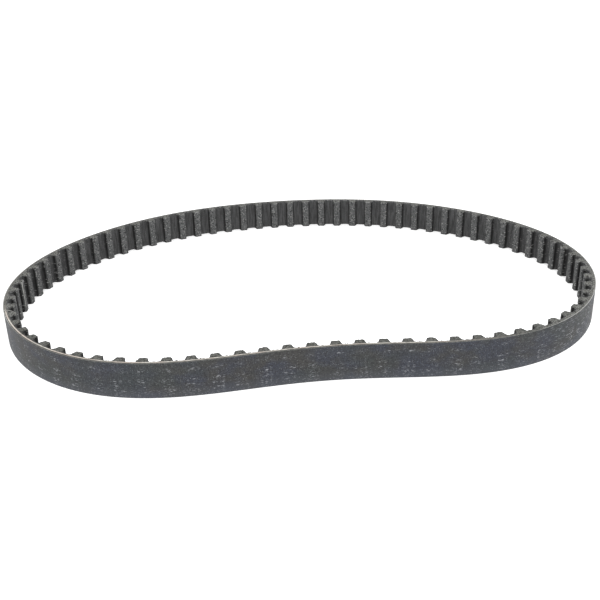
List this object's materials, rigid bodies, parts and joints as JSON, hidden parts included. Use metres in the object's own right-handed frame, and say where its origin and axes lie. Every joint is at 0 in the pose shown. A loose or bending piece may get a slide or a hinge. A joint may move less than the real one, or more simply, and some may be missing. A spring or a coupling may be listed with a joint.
{
  "type": "timing belt",
  "caption": "Closed toothed timing belt: rubber back with moulded trapezoidal teeth, woven tooth facing and cord core.",
  "frame": {"origin": "below the middle of the loop, level with the edge that the belt rests on", "axes": "+Z across the belt width, upwards; +X along the longer side of the loop; -Y towards the side that dents inwards"},
  "size_m": [0.29, 0.2046, 0.016],
  "materials": {
    "rubber": "matte",
    "cord": "dull twisted glass-fibre strand",
    "facing": "woven, rubber-filled"
  },
  "bodies": {
    "section_01": {"rubber_01": "rubber", "tension_cords_01": "cord", "tooth_facing_01": "facing"},
    "section_02": {"rubber_02": "rubber", "tension_cords_02": "cord", "tooth_facing_02": "facing"},
    "section_03": {"rubber_03": "rubber", "tension_cords_03": "cord", "tooth_facing_03": "facing"},
    "section_04": {"rubber_04": "rubber", "tension_cords_04": "cord", "tooth_facing_04": "facing"},
    "section_05": {"rubber_05": "rubber", "tension_cords_05": "cord", "tooth_facing_05": "facing"},
    "section_06": {"rubber_06": "rubber", "tension_cords_06": "cord", "tooth_facing_06": "facing"},
    "section_07": {"rubber_07": "rubber", "tension_cords_07": "cord", "tooth_facing_07": "facing"},
    "section_08": {"rubber_08": "rubber", "tension_cords_08": "cord", "tooth_facing_08": "facing"},
    "section_09": {"rubber_09": "rubber", "tension_cords_09": "cord", "tooth_facing_09": "facing"},
    "section_10": {"rubber_10": "rubber", "tension_cords_10": "cord", "tooth_facing_10": "facing"},
    "section_11": {"rubber_11": "rubber", "tension_cords_11": "cord", "tooth_facing_11": "facing"},
    "section_12": {"rubber_12": "rubber", "tension_cords_12": "cord", "tooth_facing_12": "facing"},
    "section_13": {"rubber_13": "rubber", "tension_cords_13": "cord", "tooth_facing_13": "facing"},
    "section_14": {"rubber_14": "rubber", "tension_cords_14": "cord", "tooth_facing_14": "facing"},
    "section_15": {"rubber_15": "rubber", "tension_cords_15": "cord", "tooth_facing_15": "facing"},
    "section_16": {"rubber_16": "rubber", "tension_cords_16": "cord", "tooth_facing_16": "facing"},
    "section_17": {"rubber_17": "rubber", "tension_cords_17": "cord", "tooth_facing_17": "facing"},
    "section_18": {"rubber_18": "rubber", "tension_cords_18": "cord", "tooth_facing_18": "facing"},
    "section_19": {"rubber_19": "rubber", "tension_cords_19": "cord", "tooth_facing_19": "facing"},
    "section_20": {"rubber_20": "rubber", "tension_cords_20": "cord", "tooth_facing_20": "facing"}
  },
  "joints": [
    {"name": "flex_01_02", "type": "hinge", "parent": "section_01", "child": "section_02", "pos_m": [-0.01997, 0.10032, 0.008], "axis": [0, 0, 1], "range_deg": [-27.4, 10.9]},
    {"name": "flex_02_03", "type": "hinge", "parent": "section_02", "child": "section_03", "pos_m": [-0.05894, 0.09177, 0.008], "axis": [0, 0, 1], "range_deg": [-6.6, 2.74]},
    {"name": "flex_03_04", "type": "hinge", "parent": "section_03", "child": "section_04", "pos_m": [-0.09423, 0.07323, 0.008], "axis": [0, 0, 1], "range_deg": [-3.88, 9.36]},
    {"name": "flex_04_05", "type": "hinge", "parent": "section_04", "child": "section_05", "pos_m": [-0.1228, 0.04544, 0.008], "axis": [0, 0, 1], "range_deg": [-7.08, 17.11]},
    {"name": "flex_05_06", "type": "hinge", "parent": "section_05", "child": "section_06", "pos_m": [-0.14068, 0.00992, 0.008], "axis": [0, 0, 1], "range_deg": [-7.77, 18.76]},
    {"name": "flex_06_07", "type": "hinge", "parent": "section_06", "child": "section_07", "pos_m": [-0.14281, -0.0297, 0.008], "axis": [0, 0, 1], "range_deg": [-3.51, 8.48]},
    {"name": "flex_07_08", "type": "hinge", "parent": "section_07", "child": "section_08", "pos_m": [-0.12814, -0.06658, 0.008], "axis": [0, 0, 1], "range_deg": [-1.55, 3.75]},
    {"name": "flex_08_09", "type": "hinge", "parent": "section_08", "child": "section_09", "pos_m": [-0.09855, -0.09285, 0.008], "axis": [0, 0, 1], "range_deg": [-3.95, 9.53]},
    {"name": "flex_01_20", "type": "hinge", "parent": "section_01", "child": "section_20", "pos_m": [0.01997, 0.10032, 0.008], "axis": [0, 0, -1], "range_deg": [-28.3, 11.8]},
    {"name": "flex_20_19", "type": "hinge", "parent": "section_20", "child": "section_19", "pos_m": [0.05894, 0.09177, 0.008], "axis": [0, 0, -1], "range_deg": [-6.6, 2.74]},
    {"name": "flex_19_18", "type": "hinge", "parent": "section_19", "child": "section_18", "pos_m": [0.09423, 0.07323, 0.008], "axis": [0, 0, -1], "range_deg": [-3.88, 9.36]},
    {"name": "flex_18_17", "type": "hinge", "parent": "section_18", "child": "section_17", "pos_m": [0.1228, 0.04544, 0.008], "axis": [0, 0, -1], "range_deg": [-7.08, 17.11]},
    {"name": "flex_17_16", "type": "hinge", "parent": "section_17", "child": "section_16", "pos_m": [0.14068, 0.00992, 0.008], "axis": [0, 0, -1], "range_deg": [-7.77, 18.76]},
    {"name": "flex_16_15", "type": "hinge", "parent": "section_16", "child": "section_15", "pos_m": [0.14281, -0.0297, 0.008], "axis": [0, 0, -1], "range_deg": [-3.51, 8.48]},
    {"name": "flex_15_14", "type": "hinge", "parent": "section_15", "child": "section_14", "pos_m": [0.12814, -0.06658, 0.008], "axis": [0, 0, -1], "range_deg": [-1.55, 3.75]},
    {"name": "flex_14_13", "type": "hinge", "parent": "section_14", "child": "section_13", "pos_m": [0.09855, -0.09285, 0.008], "axis": [0, 0, -1], "range_deg": [-3.95, 9.53]},
    {"name": "flex_13_12", "type": "hinge", "parent": "section_13", "child": "section_12", "pos_m": [0.05983, -0.10131, 0.008], "axis": [0, 0, -1], "range_deg": [-2.27, 0.94]},
    {"name": "flex_12_11", "type": "hinge", "parent": "section_12", "child": "section_11", "pos_m": [0.01997, -0.09814, 0.008], "axis": [0, 0, -1], "range_deg": [-29.94, 12.4]},
    {"name": "flex_11_10", "type": "hinge", "parent": "section_11", "child": "section_10", "pos_m": [-0.01997, -0.09814, 0.008], "axis": [0, 0, -1], "range_deg": [-29.94, 12.4]}
  ],
  "couplings": [
    {"joint": "flex_02_03", "follows": "flex_01_02", "ratio": 0.2345},
    {"joint": "flex_03_04", "follows": "flex_01_02", "ratio": -0.3322},
    {"joint": "flex_04_05", "follows": "flex_01_02", "ratio": -0.6073},
    {"joint": "flex_05_06", "follows": "flex_01_02", "ratio": -0.6659},
    {"joint": "flex_06_07", "follows": "flex_01_02", "ratio": -0.3012},
    {"joint": "flex_07_08", "follows": "flex_01_02", "ratio": -0.133},
    {"joint": "flex_08_09", "follows": "flex_01_02", "ratio": -0.3385},
    {"joint": "flex_01_20", "follows": "flex_01_02", "ratio": 1},
    {"joint": "flex_20_19", "follows": "flex_01_02", "ratio": 0.2345},
    {"joint": "flex_19_18", "follows": "flex_01_02", "ratio": -0.3322},
    {"joint": "flex_18_17", "follows": "flex_01_02", "ratio": -0.6073},
    {"joint": "flex_17_16", "follows": "flex_01_02", "ratio": -0.6659},
    {"joint": "flex_16_15", "follows": "flex_01_02", "ratio": -0.3012},
    {"joint": "flex_15_14", "follows": "flex_01_02", "ratio": -0.133},
    {"joint": "flex_14_13", "follows": "flex_01_02", "ratio": -0.3385},
    {"joint": "flex_13_12", "follows": "flex_01_02", "ratio": 0.0805},
    {"joint": "flex_12_11", "follows": "flex_01_02", "ratio": 1.0631},
    {"joint": "flex_11_10", "follows": "flex_01_02", "ratio": 1.0631}
  ]
}
